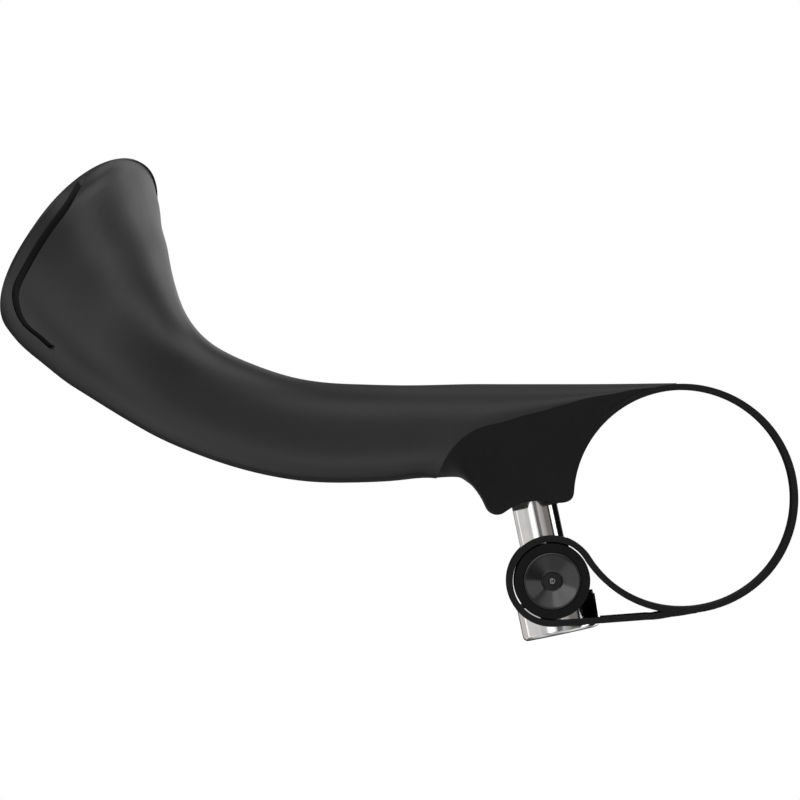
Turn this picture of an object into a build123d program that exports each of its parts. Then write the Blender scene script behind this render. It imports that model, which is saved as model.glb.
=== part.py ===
from build123d import *
import os
from math import sin, cos, radians, degrees, hypot, atan2, pi, sqrt

os.makedirs("parts", exist_ok=True)

# ---------------------------------------------------------------------------
# Handlebar mirror: a one-piece arm that flares into an oval head, clamped to
# an oversize 31.8 mm handlebar by a wrap-around strap, a cross barrel and one
# screw.  Frame: origin at the centre of the clamped tube, Y along the tube,
# X towards the side away from the head, Z up.  All sizes in millimetres.
# ---------------------------------------------------------------------------

# clamp
TUBE_R = 15.9            # radius of the handlebar clamp zone
CLAMP_HALF_W = 9.0       # half the width of strap, base and arm tail along the tube
STRAP_T = 0.95           # strap thickness
STRAP_MID_R = TUBE_R + STRAP_T / 2
TAIL_ANGLE = 135.0       # end of the strap tail that lies in the base's pocket
TIP_ANGLE = 105.2        # angular place where the base runs out above the strap

# cross barrel, the strap loops around it
BARREL_R = 5.6
BARREL_HALF_L = 8.85
LOOP_MID_R = BARREL_R + 0.16 + STRAP_T / 2
BARREL_ANGLE = 212.36    # direction from the tube centre to the barrel centre
BARREL_C = Vector((STRAP_MID_R + LOOP_MID_R) * cos(radians(BARREL_ANGLE)), 0,
                  (STRAP_MID_R + LOOP_MID_R) * sin(radians(BARREL_ANGLE)))
LOWER_STRAND_ANGLE = 274.2   # where the lower strand leaves the loop
LOWER_STRAND_L = 19.0
SPOT_FACE = 2.45         # depth of the flat for the washer, below the barrel centre
WASHER_T = 0.5
WASHER_R = 5.6
CAP_R = 4.25
HUB_R = 1.30
PIN_R = 0.53

# clamp screw
SCREW_TILT = 11.95       # lean of the screw axis from vertical, towards the head
SHANK_R = 3.5
THREAD_R = 2.5
HEAD_R = 5.85
HEAD_H = 5.0
HEX_AF = 4.0
SHANK_END = 16.0         # distances along the screw axis from the barrel centre
THREAD_END = 25.0
INSERT_START = 18.6
INSERT_END = 24.6
BORE_END = 27.9
INSERT_R = 3.6
BOSS_R = 5.6
BOSS_START = 17.0

# mirror head
HEAD_TILT = 17.6         # turn of the rim plane about the head's height axis
GLASS_HALF_H = 12.05
GLASS_HALF_W = 19.9
GLASS_T = 1.6
GLASS_SHIFT = -1.4       # glass centre along the head's height, from the rim centre
GLASS_DEPTH = 0.35       # edge of the glass below the rim
GLASS_CURVE_R = 600.0    # convex glass
PAD_T = 0.6
BALL_R = 3.5
LINER_OUT_R = 4.35
SOCKET_R = 4.43
SOCKET_OUT_R = 5.4
BALL_DEPTH = 7.9
WALL = 1.6

# Cross-sections of arm and head: upper point (x, z), lower point (x, z), turn
# about the section's own height (degrees), half-width, exponent of the oval.
SECTIONS = [
    ((-79.35, 49.32), (-97.45, 23.50), 17.6, 24.2, 2.0),
    ((-78.33, 48.02), (-96.05, 21.80), 17.4, 23.5, 2.0),
    ((-78.18, 45.22), (-94.44, 20.31), 15.2, 21.9, 2.05),
    ((-77.30, 41.41), (-92.39, 18.62), 12.2, 19.4, 2.1),
    ((-76.13, 37.89), (-90.04, 16.79), 9.0, 16.7, 2.15),
    ((-75.32, 34.38), (-87.40, 15.11), 6.5, 14.1, 2.2),
    ((-74.36, 30.86), (-84.48, 13.28), 4.0, 12.0, 2.25),
    ((-72.98, 27.34), (-80.96, 11.15), 2.0, 10.4, 2.3),
    ((-70.33, 23.82), (-76.86, 8.88), 0.7, 9.3, 2.35),
    ((-66.96, 21.48), (-72.17, 6.83), 0.0, 8.7, 2.4),
    ((-62.65, 19.58), (-66.60, 4.85), 0.0, 8.2, 2.4),
    ((-57.81, 17.97), (-60.74, 3.34), 0.0, 7.9, 2.4),
    ((-52.39, 17.03), (-54.00, 2.39), 0.0, 7.7, 2.4),
    ((-46.97, 16.75), (-47.26, 2.32), 0.0, 7.7, 2.4),
    ((-41.40, 16.62), (-41.40, 2.65), 0.0, 8.0, 2.45),
    ((-35.98, 16.68), (-35.98, 2.90), 0.0, 8.5, 2.5),
    ((-31.14, 16.79), (-31.14, 2.43), 0.0, 9.0, 2.5),
    ((-26.74, 16.79), (-26.74, 5.40), 0.0, 9.0, 2.45),
    ((-22.35, 16.79), (-22.35, 7.90), 0.0, 9.0, 2.4),
    ((-17.95, 16.79), (-17.95, 10.30), 0.0, 9.0, 2.35),
    ((-12.09, 16.80), (-12.09, 12.90), 0.0, 9.0, 2.3),
    ((-4.76, 16.88), (-4.76, 15.40), 0.0, 9.0, 2.2),
    ((-0.80, 16.93), (-0.80, 15.70), 0.0, 9.0, 2.1),
]
HOLLOW_SECTIONS = 15     # the arm is hollow up to this section
OVAL_POINTS = 28
LOWER_EXP = 2.5          # exponent of every section's lower half

# Side outline of the clamp base, x and z, from the arm's underside at the left
S_CURVE = [(-36.02, 3.02), (-34.36, 6.46), (-32.60, 8.51), (-30.85, 9.83), (-29.09, 10.57),
           (-27.33, 11.01), (-25.57, 11.45), (-23.81, 12.03), (-22.05, 12.47), (-20.30, 12.91),
           (-18.54, 13.45), (-16.78, 13.94), (-15.02, 14.45), (-13.26, 14.89), (-11.50, 15.18),
           (-9.74, 15.47), (-7.99, 15.84), (-6.23, 16.10)]
UNDERSIDE = [(-36.02, 3.02), (-33.40, 3.15), (-32.60, 3.05), (-31.70, 2.52), (-30.95, 1.95),
             (-30.25, 1.15), (-29.60, 0.20), (-29.00, -0.95), (-28.45, -1.90), (-27.95, -2.22),
             (-27.20, -2.40), (-26.35, -2.20), (-25.50, -1.65), (-24.60, -1.15), (-23.60, -0.75),
             (-22.60, -0.50), (-21.55, -0.36), (-20.60, -0.36), (-19.70, -0.50), (-18.90, -0.66),
             (-18.00, -0.64), (-17.20, -0.50), (-16.55, -0.15), (-16.10, 0.30)]
# seam of the underside cover, x and z, from the head to the clamp
SEAM = [(-89.80, 15.90), (-88.30, 15.25), (-86.80, 14.85), (-85.36, 14.30), (-82.43, 12.70),
        (-79.50, 11.05), (-76.57, 9.45), (-73.64, 8.05), (-70.71, 6.90), (-66.31, 5.51),
        (-61.91, 4.34), (-58.98, 3.75), (-56.05, 3.31), (-53.12, 3.09), (-48.72, 3.02),
        (-45.79, 3.09), (-41.40, 3.46), (-37.73, 3.70), (-36.60, 3.20)]

SCREW_DIR = Vector(-sin(radians(SCREW_TILT)), 0, cos(radians(SCREW_TILT)))


def axis_plane(dist):
    """Plane square to the screw axis, dist from the barrel centre, facing the body."""
    return Plane(origin=BARREL_C + SCREW_DIR * dist, x_dir=(0, 1, 0), z_dir=SCREW_DIR)


def section_frame(top, bottom, turn):
    dx, dz = (top[0] - bottom[0]) / 2, (top[1] - bottom[1]) / 2
    h = hypot(dx, dz)
    e1 = Vector(dx / h, 0, dz / h)
    t = radians(turn)
    e2 = Vector(-e1.Z * sin(t), -cos(t), e1.X * sin(t))
    centre = Vector((top[0] + bottom[0]) / 2, 0, (top[1] + bottom[1]) / 2)
    return centre, e1, e2, e1.cross(e2), h


def oval(half_h, half_w, n, count=OVAL_POINTS, n_low=LOWER_EXP):
    """Points of a closed oval, local x along the height, fuller below than above."""
    pts = []
    for i in range(count):
        a = 2 * pi * i / count
        c, s = cos(a), sin(a)
        e = 2 / (n if c >= 0 else n_low)
        pts.append((half_h * (abs(c) ** e) * (1 if c >= 0 else -1),
                    half_w * (abs(s) ** e) * (1 if s >= 0 else -1)))
    return pts


# The rim's own frame: RIM_N leaves the glass, RIM_E1 up the head, RIM_E2 across
RIM_C, RIM_E1, RIM_E2, _rim_z, RIM_H = section_frame(SECTIONS[0][0], SECTIONS[0][1], HEAD_TILT)
RIM_N = Vector(cos(radians(HEAD_TILT)) * -RIM_E1.Z, sin(radians(HEAD_TILT)),
               cos(radians(HEAD_TILT)) * RIM_E1.X)
GLASS_C = RIM_C + RIM_E1 * GLASS_SHIFT
BALL_C = GLASS_C - RIM_N * BALL_DEPTH


def rim_plane(depth):
    """Plane parallel to the rim, depth below it, facing out of the glass."""
    return Plane(origin=GLASS_C - RIM_N * depth, x_dir=RIM_E1, z_dir=RIM_N)


def ball_plane():
    return Plane(origin=BALL_C, x_dir=RIM_E1, z_dir=RIM_N)


# ---- outer and inner forms of arm and head --------------------------------
with BuildPart() as outer_form:
    for top, bottom, turn, half_w, n in SECTIONS:
        c, e1, e2, zd, h = section_frame(top, bottom, turn)
        with BuildSketch(Plane(origin=c, x_dir=e1, z_dir=zd)):
            with BuildLine():
                Spline(*oval(h, half_w, n), periodic=True)
            make_face()
    loft()

with BuildPart() as inner_form:
    first = True
    for i, (top, bottom, turn, half_w, n) in enumerate(SECTIONS[:HOLLOW_SECTIONS]):
        c, e1, e2, zd, h = section_frame(top, bottom, turn)
        wall = 1.25 if i < 2 else 1.45 if i < 4 else min(2.0, WALL + 0.1 * (i - 4))
        wall_w = 1.25 if i < 2 else 1.6 if i < 4 else 2.0
        if first:
            with BuildSketch(Plane(origin=c + RIM_N * 1.0, x_dir=e1, z_dir=zd)):
                with BuildLine():
                    Spline(*oval(h - wall + 0.2, half_w - wall_w + 0.2, n), periodic=True)
                make_face()
            first = False
        with BuildSketch(Plane(origin=c, x_dir=e1, z_dir=zd)):
            with BuildLine():
                Spline(*oval(h - wall, half_w - wall_w, n), periodic=True)
            make_face()
    loft()

# ---- clamp base: rubbery pad between arm and handlebar ----------------------
SADDLE_LOW = 179.0
with BuildPart() as clamp_base:
    with BuildSketch(Plane.XZ):
        with BuildLine():
            tip = (TUBE_R + STRAP_T) * cos(radians(TIP_ANGLE)), (TUBE_R + STRAP_T) * sin(radians(TIP_ANGLE))
            low = TUBE_R * cos(radians(SADDLE_LOW)), TUBE_R * sin(radians(SADDLE_LOW))
            upper = Spline(*S_CURVE, tip)
            pocket_a = CenterArc((0, 0), TUBE_R + STRAP_T, TIP_ANGLE, TAIL_ANGLE - TIP_ANGLE)
            l2 = Line(pocket_a @ 1, (TUBE_R * cos(radians(TAIL_ANGLE)), TUBE_R * sin(radians(TAIL_ANGLE))))
            saddle = CenterArc((0, 0), TUBE_R, TAIL_ANGLE, SADDLE_LOW - TAIL_ANGLE)
            l3 = Line(saddle @ 1, UNDERSIDE[-1])
            under = Spline(*reversed(UNDERSIDE))
        make_face()
    extrude(amount=CLAMP_HALF_W, both=True)
    # groove that locks the hook of the strap's tail
    with BuildSketch(Plane.XZ):
        with Locations((17.4 * cos(radians(TAIL_ANGLE - 3)), 17.4 * sin(radians(TAIL_ANGLE - 3)))):
            Rectangle(1.5, 2.2, rotation=TAIL_ANGLE - 3)
    extrude(amount=CLAMP_HALF_W, both=True, mode=Mode.SUBTRACT)

base_form = clamp_base.part

with BuildPart() as clamp_base_cut:
    add(base_form)
    with BuildSketch(axis_plane(4.0)):
        Circle(SHANK_R + 0.3)
    extrude(amount=BOSS_START - 4.0 + 0.01, mode=Mode.SUBTRACT)
    with BuildSketch(axis_plane(BOSS_START)):
        Circle(BOSS_R)
    extrude(amount=16, mode=Mode.SUBTRACT)
clamp_base_cut.part.label = "clamp_base"

# ---- region of the base profile, used to trim the arm ----------------------
with BuildPart() as base_region:
    with BuildSketch(Plane.XZ):
        with BuildLine():
            upper = Spline(*S_CURVE, tip)
            over = CenterArc((0, 0), TUBE_R + STRAP_T, TIP_ANGLE, 70.0 - TIP_ANGLE)
            l3 = Line(over @ 1, (6.0, -8.0))
            l4 = Line((6.0, -8.0), (-36.02, -8.0))
            l5 = Line((-36.02, -8.0), (-36.02, 3.02))
        make_face()
    extrude(amount=14, both=True)

# ---- screw boss that reaches down from the arm into the base ---------------
with BuildPart() as screw_boss:
    with BuildSketch(axis_plane(BOSS_START)):
        Circle(BOSS_R)
    extrude(amount=12.0)

# ---- post inside the head that carries the ball stud -----------------------
STUD_SEAT = BALL_DEPTH + BALL_R + 1.3
with BuildPart() as stud_post:
    with BuildSketch(rim_plane(STUD_SEAT)):
        Circle(3.3)
    extrude(amount=-9.5)

# ---- underside cover -------------------------------------------------------
with BuildPart() as seam_region:
    with BuildSketch(Plane.XZ):
        with BuildLine():
            seam = Spline(*SEAM)
            a = Line(seam @ 1, (-36.6, -2.0))
            b = Line((-36.6, -2.0), (-89.8, -2.0))
            c2 = Line((-89.8, -2.0), seam @ 0)
        make_face()
    extrude(amount=14, both=True)

with BuildPart() as rib_region:
    with BuildSketch(Plane.XZ):
        with BuildLine():
            lo = Spline(*[(x, z - 0.3) for x, z in SEAM[5:17]])
            hi = Spline(*[(x, z + 2.1) for x, z in SEAM[5:17]])
            Line(lo @ 0, hi @ 0)
            Line(lo @ 1, hi @ 1)
        make_face()
    extrude(amount=2.8, both=True)

with BuildPart() as underside_cover:
    add(outer_form.part)
    add(seam_region.part, mode=Mode.INTERSECT)
    add(rib_region.part)
    add(inner_form.part, mode=Mode.SUBTRACT)
underside_cover.part.label = "underside_cover"

with BuildPart() as arm_shell:
    add(outer_form.part)
    add(base_region.part, mode=Mode.SUBTRACT)
    add(inner_form.part, mode=Mode.SUBTRACT)
    add(stud_post.part)
    add(screw_boss.part)
    add(outer_form.part, mode=Mode.INTERSECT)
    add(seam_region.part, mode=Mode.SUBTRACT)
    add(rib_region.part, mode=Mode.SUBTRACT)
    # bore for the screw's end and pocket for the threaded insert
    with BuildSketch(axis_plane(BOSS_START - 1)):
        Circle(SHANK_R + 0.3)
    extrude(amount=INSERT_START - BOSS_START + 1, mode=Mode.SUBTRACT)
    with BuildSketch(axis_plane(INSERT_START - 0.01)):
        Circle(INSERT_R)
    extrude(amount=INSERT_END - INSERT_START + 0.01, mode=Mode.SUBTRACT)
    with BuildSketch(axis_plane(INSERT_END - 0.01)):
        Circle(THREAD_R + 0.3)
    extrude(amount=BORE_END - INSERT_END, mode=Mode.SUBTRACT)
    # hole for the ball stud's shank
    with BuildSketch(rim_plane(STUD_SEAT - 0.01)):
        Circle(1.5)
    extrude(amount=-5.2, mode=Mode.SUBTRACT)
arm_shell.part.label = "arm_shell"

# ---- threaded insert -------------------------------------------------------
with BuildPart() as threaded_insert:
    with BuildSketch(axis_plane(INSERT_START)):
        Circle(INSERT_R)
        Circle(THREAD_R + 0.05, mode=Mode.SUBTRACT)
    extrude(amount=INSERT_END - INSERT_START)
threaded_insert.part.label = "threaded_insert"

# ---- clamp screw -----------------------------------------------------------
HEAD_TOP = -(SPOT_FACE + WASHER_T + 0.03)
with BuildPart() as clamp_screw:
    with BuildSketch(axis_plane(HEAD_TOP)):
        Circle(HEAD_R)
    extrude(amount=-HEAD_H)
    fillet(clamp_screw.edges().filter_by(GeomType.CIRCLE).sort_by(Axis.Z)[0], 0.7)
    with BuildSketch(axis_plane(HEAD_TOP)):
        Circle(SHANK_R)
    extrude(amount=SHANK_END - HEAD_TOP)
    with BuildSketch(axis_plane(SHANK_END)):
        Circle(THREAD_R)
    extrude(amount=THREAD_END - SHANK_END)
    with BuildSketch(axis_plane(HEAD_TOP - HEAD_H)):
        RegularPolygon(HEX_AF / sqrt(3), 6)
    extrude(amount=3.0, mode=Mode.SUBTRACT)
clamp_screw.part.label = "clamp_screw"

# ---- washer ----------------------------------------------------------------
with BuildPart() as thrust_washer:
    with BuildSketch(axis_plane(-SPOT_FACE - WASHER_T)):
        Circle(WASHER_R)
        Circle(SHANK_R + 0.1, mode=Mode.SUBTRACT)
    extrude(amount=WASHER_T)
thrust_washer.part.label = "thrust_washer"

# ---- cross barrel ----------------------------------------------------------
BARREL_PLANE = Plane(origin=BARREL_C, x_dir=(1, 0, 0), z_dir=(0, -1, 0))
with BuildPart() as barrel:
    with BuildSketch(BARREL_PLANE):
        Circle(BARREL_R)
    extrude(amount=BARREL_HALF_L, both=True)
    for side in (1, -1):
        with BuildSketch(BARREL_PLANE.offset(side * (BARREL_HALF_L - 1.9))):
            Circle(CAP_R + 0.02)
        extrude(amount=side * 3, mode=Mode.SUBTRACT)
    with BuildSketch(axis_plane(-8)):
        Circle(SHANK_R + 0.075)
    extrude(amount=16, mode=Mode.SUBTRACT)
    with BuildSketch(axis_plane(-SPOT_FACE)):
        Circle(HEAD_R + 0.3)
    extrude(amount=-8, mode=Mode.SUBTRACT)
barrel.part.label = "barrel"

# ---- dished end caps and their centre pins ---------------------------------
with BuildPart() as barrel_end_caps:
    for side in (1, -1):
        pl = Plane(origin=BARREL_C + Vector(0, -side * BARREL_HALF_L, 0), x_dir=(1, 0, 0),
                   z_dir=(0, -side, 0))
        with BuildSketch(Plane(origin=pl.origin, x_dir=(1, 0, 0), z_dir=(0, 0, 1))):
            with BuildLine():
                Polyline((0, side * 1.9), (CAP_R, side * 1.9), (CAP_R, side * 0.12),
                         (CAP_R - 0.15, 0), (HUB_R + 0.1, side * 0.72), (HUB_R, side * 0.8),
                         (HUB_R, side * 1.35), (0, side * 1.35), (0, side * 1.9))
            make_face()
        revolve(axis=Axis(BARREL_C, (0, 1, 0)), revolution_arc=360)
    for side in (1, -1):
        with BuildSketch(BARREL_PLANE.offset(side * (BARREL_HALF_L - 1.9))):
            Circle(PIN_R)
        extrude(amount=side * 1.0, mode=Mode.SUBTRACT)
barrel_end_caps.part.label = "barrel_end_caps"

with BuildPart() as cap_pins:
    for side in (1, -1):
        with BuildSketch(BARREL_PLANE.offset(side * (BARREL_HALF_L - 1.9))):
            Circle(PIN_R)
        extrude(amount=side * 1.5)
    fillet(cap_pins.edges().filter_by(GeomType.CIRCLE).group_by(Axis.Y)[0], 0.2)
    fillet(cap_pins.edges().filter_by(GeomType.CIRCLE).group_by(Axis.Y)[-1], 0.2)
cap_pins.part.label = "cap_pins"

# ---- strap -----------------------------------------------------------------
bx, bz = BARREL_C.X, BARREL_C.Z
la = radians(LOWER_STRAND_ANGLE)
p_low = (bx + LOOP_MID_R * cos(la), bz + LOOP_MID_R * sin(la))
d_low = (-sin(la), cos(la))


def arc_band(cx, cz, r_mid, a0, a1):
    """Flat band of the strap's thickness along an arc, angles in degrees."""
    r0, r1 = r_mid - STRAP_T / 2, r_mid + STRAP_T / 2
    inner = CenterArc((cx, cz), r0, a0, a1 - a0)
    outer = CenterArc((cx, cz), r1, a0, a1 - a0)
    Line(inner @ 0, outer @ 0)
    Line(inner @ 1, outer @ 1)


with BuildPart() as strap:
    with BuildSketch(Plane.XZ):
        with BuildLine():
            arc_band(0, 0, STRAP_MID_R, BARREL_ANGLE - 360, TAIL_ANGLE)
        make_face()
        with BuildLine():
            arc_band(bx, bz, LOOP_MID_R, BARREL_ANGLE - 180, LOWER_STRAND_ANGLE)
        make_face()
        with BuildLine():
            q = (p_low[0] + d_low[0] * LOWER_STRAND_L, p_low[1] + d_low[1] * LOWER_STRAND_L)
            nx, nz = -d_low[1] * STRAP_T / 2, d_low[0] * STRAP_T / 2
            Polyline((p_low[0] + nx, p_low[1] + nz), (q[0] + nx, q[1] + nz), (q[0] - nx, q[1] - nz),
                     (p_low[0] - nx, p_low[1] - nz), (p_low[0] + nx, p_low[1] + nz))
        make_face()
        # hook at the end of the tail, locked in the base's groove
        with Locations((17.3 * cos(radians(TAIL_ANGLE - 3)), 17.3 * sin(radians(TAIL_ANGLE - 3)))):
            Rectangle(1.2, 2.0, rotation=TAIL_ANGLE - 3)
    extrude(amount=CLAMP_HALF_W, both=True)
    # the lower strand's end is trimmed to the tube's surface
    with BuildSketch(Plane.XZ):
        Circle(TUBE_R)
    extrude(amount=20, both=True, mode=Mode.SUBTRACT)
    # window for the shank above the barrel
    with BuildSketch(axis_plane(1.0)):
        RectangleRounded(7.7, 8.4, 3.6)
    extrude(amount=8, mode=Mode.SUBTRACT)
    # window for the head below the barrel
    with BuildSketch(axis_plane(-1.6)):
        RectangleRounded(12.6, 13.2, 2.5)
    extrude(amount=-8, mode=Mode.SUBTRACT)
strap.part.label = "strap"

# ---- convex glass, pad, carrier --------------------------------------------
GLASS_N = 2.1
sag_c = GLASS_CURVE_R
with BuildPart() as mirror_glass:
    with BuildSketch(rim_plane(GLASS_DEPTH + GLASS_T)):
        with BuildLine():
            Spline(*oval(GLASS_HALF_H, GLASS_HALF_W, GLASS_N, 40, GLASS_N), periodic=True)
        make_face()
    extrude(amount=GLASS_T)
    with BuildSketch(rim_plane(GLASS_DEPTH + GLASS_T)):
        with BuildLine():
            Spline(*oval(GLASS_HALF_H, GLASS_HALF_W, GLASS_N, 40, GLASS_N), periodic=True)
        make_face()
    extrude(amount=GLASS_T + 0.36)
    with Locations(Plane(origin=GLASS_C - RIM_N * (GLASS_DEPTH - 0.36 + GLASS_CURVE_R),
                         x_dir=RIM_E1, z_dir=RIM_N)):
        Sphere(GLASS_CURVE_R, mode=Mode.INTERSECT)
mirror_glass.part.label = "mirror_glass"

PAD_DEPTH = GLASS_DEPTH + GLASS_T
with BuildPart() as adhesive_pad:
    with BuildSketch(rim_plane(PAD_DEPTH + PAD_T)):
        with BuildLine():
            Spline(*oval(GLASS_HALF_H - 2.6, GLASS_HALF_W - 3.6, GLASS_N, 32, GLASS_N), periodic=True)
        make_face()
    extrude(amount=PAD_T)
adhesive_pad.part.label = "adhesive_pad"

CARRIER_DEPTH = PAD_DEPTH + PAD_T
CARRIER_T = 1.3
with BuildPart() as glass_carrier:
    with BuildSketch(rim_plane(CARRIER_DEPTH + CARRIER_T)):
        with BuildLine():
            Spline(*oval(GLASS_HALF_H - 2.4, GLASS_HALF_W - 3.4, GLASS_N, 32, GLASS_N), periodic=True)
        make_face()
    extrude(amount=CARRIER_T)
    with BuildSketch(ball_plane()):
        Circle(SOCKET_OUT_R)
    extrude(amount=BALL_DEPTH - CARRIER_DEPTH - 0.2)
    with BuildSketch(ball_plane()):
        Circle(SOCKET_OUT_R)
    extrude(amount=-1.9)
    with Locations(ball_plane()):
        Sphere(SOCKET_R, mode=Mode.SUBTRACT)
    # four slots that let the socket snap over the ball
    with BuildSketch(ball_plane().offset(-3)):
        Rectangle(0.9, 14)
        Rectangle(14, 0.9)
    extrude(amount=3.4, mode=Mode.SUBTRACT)
glass_carrier.part.label = "glass_carrier"

# ---- socket liner ----------------------------------------------------------
with BuildPart() as socket_liner:
    with Locations(ball_plane()):
        Sphere(LINER_OUT_R)
        Sphere(BALL_R + 0.08, mode=Mode.SUBTRACT)
    with BuildSketch(ball_plane().offset(-1.7)):
        Circle(8)
    extrude(amount=-8, mode=Mode.SUBTRACT)
socket_liner.part.label = "socket_liner"

# ---- ball stud -------------------------------------------------------------
with BuildPart() as ball_stud:
    with Locations(ball_plane()):
        Sphere(BALL_R)
    with BuildSketch(ball_plane()):
        Circle(1.7)
    extrude(amount=-(STUD_SEAT - BALL_DEPTH))
    with BuildSketch(rim_plane(STUD_SEAT - 0.8)):
        Circle(2.9)
    extrude(amount=-0.8)
    with BuildSketch(rim_plane(STUD_SEAT)):
        Circle(1.5)
    extrude(amount=-5.0)
ball_stud.part.label = "ball_stud"

pieces = [arm_shell, underside_cover, clamp_base_cut, threaded_insert, clamp_screw, thrust_washer,
          barrel, barrel_end_caps, cap_pins, strap, mirror_glass, adhesive_pad, glass_carrier,
          socket_liner, ball_stud]
for piece in pieces:
    export_step(piece.part, "parts/" + piece.part.label + ".step")
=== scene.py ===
import bpy, bmesh, math
import numpy as np
from mathutils import Vector, Matrix


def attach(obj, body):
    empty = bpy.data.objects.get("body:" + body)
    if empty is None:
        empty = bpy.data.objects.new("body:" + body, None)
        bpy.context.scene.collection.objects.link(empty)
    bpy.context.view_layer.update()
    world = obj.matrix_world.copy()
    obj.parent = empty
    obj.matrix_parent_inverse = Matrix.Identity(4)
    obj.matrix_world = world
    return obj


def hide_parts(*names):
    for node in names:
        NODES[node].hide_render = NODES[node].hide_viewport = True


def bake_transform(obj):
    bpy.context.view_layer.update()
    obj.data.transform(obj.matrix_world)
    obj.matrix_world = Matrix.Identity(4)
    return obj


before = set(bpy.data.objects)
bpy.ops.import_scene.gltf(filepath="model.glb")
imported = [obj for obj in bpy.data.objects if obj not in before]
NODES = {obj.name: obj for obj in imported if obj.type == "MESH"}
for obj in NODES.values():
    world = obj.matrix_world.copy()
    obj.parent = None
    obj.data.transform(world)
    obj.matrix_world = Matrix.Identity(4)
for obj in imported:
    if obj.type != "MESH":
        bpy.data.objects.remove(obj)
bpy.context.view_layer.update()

MM = 0.001

# ---------------------------------------------------------------- sizes (mm)
TUBE_R, HALF_W, STRAP_T = 15.9, 9.0, 0.95
STRAP_MID = TUBE_R + STRAP_T / 2
BARREL_R, LOOP_MID = 5.6, 5.6 + 0.16 + STRAP_T / 2
BA = math.radians(212.36)
BX, BZ = (STRAP_MID + LOOP_MID) * math.cos(BA), (STRAP_MID + LOOP_MID) * math.sin(BA)
TILT = math.radians(11.95)
SD = np.array([-math.sin(TILT), 0.0, math.cos(TILT)])
HEAD_TOP = -2.98
BC = np.array([BX, 0.0, BZ])

# upper point, lower point, turn, half-width, oval exponent of each section
SECTIONS = [
    ((-79.35, 49.32), (-97.45, 23.50), 17.6, 24.2, 2.0),
    ((-79.05, 47.80), (-96.05, 21.80), 17.4, 23.5, 2.0),
    ((-78.18, 45.22), (-94.44, 20.31), 15.2, 21.9, 2.05),
    ((-77.30, 41.41), (-92.39, 18.62), 12.2, 19.4, 2.1),
    ((-76.13, 37.89), (-90.04, 16.79), 9.0, 16.7, 2.15),
    ((-75.32, 34.38), (-87.40, 15.11), 6.5, 14.1, 2.2),
    ((-74.36, 30.86), (-84.48, 13.28), 4.0, 12.0, 2.25),
    ((-72.98, 27.34), (-80.96, 11.15), 2.0, 10.4, 2.3),
    ((-70.33, 23.82), (-76.86, 8.88), 0.7, 9.3, 2.35),
    ((-66.96, 21.48), (-72.17, 6.83), 0.0, 8.7, 2.4),
    ((-62.65, 19.58), (-66.60, 4.85), 0.0, 8.2, 2.4),
    ((-57.81, 17.97), (-60.74, 3.34), 0.0, 7.9, 2.4),
    ((-52.39, 17.03), (-54.00, 2.39), 0.0, 7.7, 2.4),
    ((-46.97, 16.75), (-47.26, 2.32), 0.0, 7.7, 2.4),
    ((-41.40, 16.62), (-41.40, 2.65), 0.0, 8.0, 2.45),
    ((-35.98, 16.68), (-35.98, 2.90), 0.0, 8.5, 2.5),
    ((-31.14, 16.79), (-31.14, 2.43), 0.0, 9.0, 2.5),
    ((-26.74, 16.79), (-26.74, 5.40), 0.0, 9.0, 2.45),
    ((-22.35, 16.79), (-22.35, 7.90), 0.0, 9.0, 2.4),
    ((-17.95, 16.79), (-17.95, 10.30), 0.0, 9.0, 2.35),
    ((-12.09, 16.80), (-12.09, 12.90), 0.0, 9.0, 2.3),
    ((-4.76, 16.88), (-4.76, 15.40), 0.0, 9.0, 2.2),
    ((-0.80, 16.93), (-0.80, 15.70), 0.0, 9.0, 2.1),
]
HOLLOW = 15
S_CURVE = [(-36.02, 3.02), (-34.36, 6.46), (-32.60, 8.51), (-30.85, 9.83), (-29.09, 10.57),
           (-27.33, 11.01), (-25.57, 11.45), (-23.81, 12.03), (-22.05, 12.47), (-20.30, 12.91),
           (-18.54, 13.45), (-16.78, 13.94), (-15.02, 14.45), (-13.26, 14.89), (-11.50, 15.18),
           (-9.74, 15.47), (-7.99, 15.84), (-6.23, 16.10)]
UNDERSIDE = [(-36.02, 3.02), (-33.40, 3.15), (-32.60, 3.05), (-31.70, 2.52), (-30.95, 1.95),
             (-30.25, 1.15), (-29.60, 0.20), (-29.00, -0.95), (-28.45, -1.90), (-27.95, -2.22),
             (-27.20, -2.40), (-26.35, -2.20), (-25.50, -1.65), (-24.60, -1.15), (-23.60, -0.75),
             (-22.60, -0.50), (-21.55, -0.36), (-20.60, -0.36), (-19.70, -0.50), (-18.90, -0.66),
             (-18.00, -0.66), (-17.20, -0.56), (-16.62, -0.36), (-16.22, -0.05), (-15.98, 0.40), (-15.878, 0.832)]
SEAM = [(-89.80, 15.90), (-88.30, 15.25), (-86.80, 14.85), (-85.36, 14.30), (-82.43, 12.70),
        (-79.50, 11.05), (-76.57, 9.45), (-73.64, 8.05), (-70.71, 6.90), (-66.31, 5.51),
        (-61.91, 4.34), (-58.98, 3.75), (-56.05, 3.31), (-53.12, 3.09), (-48.72, 3.02),
        (-45.79, 3.09), (-41.40, 3.46), (-37.73, 3.70), (-36.60, 3.20)]
# centre line of the groove behind the lip, x and z, from the top to the lower end
GROOVE = [(-84.9, 47.5), (-87.5, 46.7), (-89.45, 43.76), (-91.66, 40.53), (-94.15, 36.87),
          (-96.35, 33.06), (-97.52, 30.13), (-97.37, 28.08), (-95.91, 25.15), (-94.44, 23.97),
          (-92.4, 22.07)]


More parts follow.
